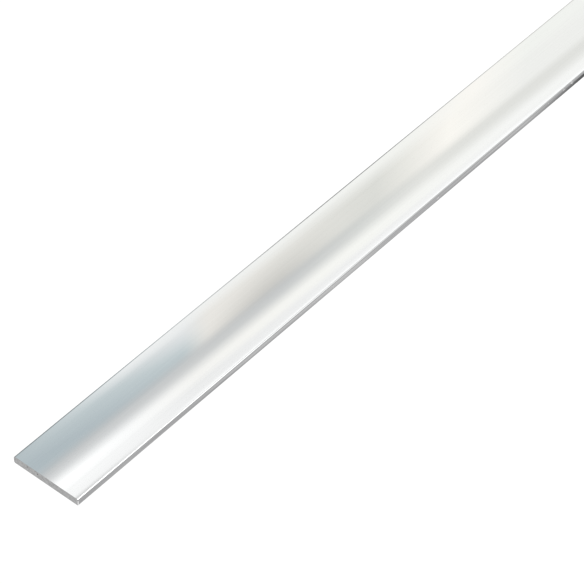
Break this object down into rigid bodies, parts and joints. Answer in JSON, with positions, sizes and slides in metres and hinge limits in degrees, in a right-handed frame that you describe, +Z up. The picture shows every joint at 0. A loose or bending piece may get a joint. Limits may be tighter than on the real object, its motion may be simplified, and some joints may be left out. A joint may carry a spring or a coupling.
{
  "type": "aluminium flat bar",
  "caption": "Straight length of flat aluminium bar with rounded long edges and square sawn, deburred ends, used as trim or as stock to cut and drill.",
  "frame": {"origin": "middle of the underside, on the floor", "axes": "+X along the bar, +Y across its width, +Z up from the floor through its thickness"},
  "size_m": [1, 0.02, 0.002],
  "materials": {
    "aluminium": "bright extruded aluminium, near mirror, with faint lengthwise die lines and matt sawn ends"
  },
  "bodies": {
    "root": {"flat_bar": "aluminium"}
  },
  "joints": []
}
